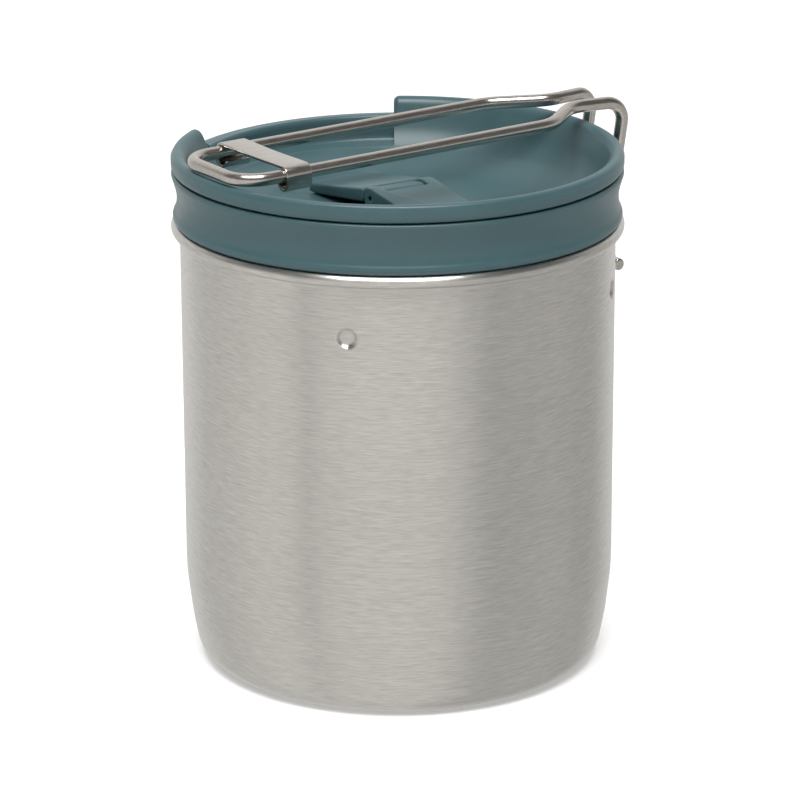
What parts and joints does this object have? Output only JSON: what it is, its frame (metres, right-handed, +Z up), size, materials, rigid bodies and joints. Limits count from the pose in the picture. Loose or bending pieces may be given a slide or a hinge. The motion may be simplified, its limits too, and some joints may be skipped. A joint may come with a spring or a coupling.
{
  "type": "cooking pot set",
  "caption": "Steel camping pot with a fold-over locking wire handle, a dished pour-notch lid with a lift tab, and nested insulated bowls.",
  "frame": {"origin": "centre of the flat base on the pot's axis", "axes": "+Z up along the pot's axis, +X towards the handle's bracket, the folded grip points to -X, the lid's pour notch is on the +Y side"},
  "size_m": [0.1355, 0.1248, 0.1515],
  "materials": {
    "pot_steel": "fine horizontal brushing",
    "wire_steel": "polished wire",
    "teal_plastic": "moulded satin",
    "gasket_silicone": "soft matte",
    "foam": "rigid foam"
  },
  "bodies": {
    "pot": {"pot_body": "pot_steel", "handle_bracket": "pot_steel"},
    "handle": {"handle_wire": "wire_steel"},
    "clip": {"handle_clip": "wire_steel"},
    "lid": {"lid_shell": "teal_plastic", "lid_gasket": "gasket_silicone", "tab_hinge_pin": "wire_steel"},
    "tab": {"lift_tab": "teal_plastic"},
    "upper_bowl": {"upper_bowl_shell": "teal_plastic", "upper_bowl_liner": "teal_plastic", "upper_bowl_foam": "foam"},
    "lower_bowl": {"lower_bowl_shell": "teal_plastic", "lower_bowl_liner": "teal_plastic", "lower_bowl_foam": "foam"}
  },
  "joints": [
    {"name": "handle_fold", "type": "hinge", "parent": "pot", "child": "handle", "pos_m": [0.06485, 0, 0.1048], "axis": [0, 1, 0], "range_deg": [0, 174]},
    {"name": "clip_slide", "type": "slide", "parent": "handle", "child": "clip", "axis": [0.9999, 0, 0.0165], "range_m": [-0.0035, 0.07]},
    {"name": "lid_lift", "type": "slide", "parent": "pot", "child": "lid", "axis": [0, 0, 1], "range_m": [0, 0.0435]},
    {"name": "tab_lift", "type": "hinge", "parent": "lid", "child": "tab", "pos_m": [0, -0.0022, 0.1323], "axis": [1, 0, 0], "range_deg": [0, 90]},
    {"name": "upper_bowl_lift", "type": "slide", "parent": "pot", "child": "upper_bowl", "axis": [0, 0, 1], "range_m": [0, 0.0262]},
    {"name": "lower_bowl_lift", "type": "slide", "parent": "pot", "child": "lower_bowl", "axis": [0, 0, 1], "range_m": [0, 0.014]}
  ],
  "couplings": [
    {"joint": "lid_lift", "follows": "handle_fold", "m_per_rad": 0.0143},
    {"joint": "tab_lift", "follows": "handle_fold", "ratio": 0.5},
    {"joint": "upper_bowl_lift", "follows": "handle_fold", "m_per_rad": 0.0086},
    {"joint": "lower_bowl_lift", "follows": "handle_fold", "m_per_rad": 0.0046}
  ]
}
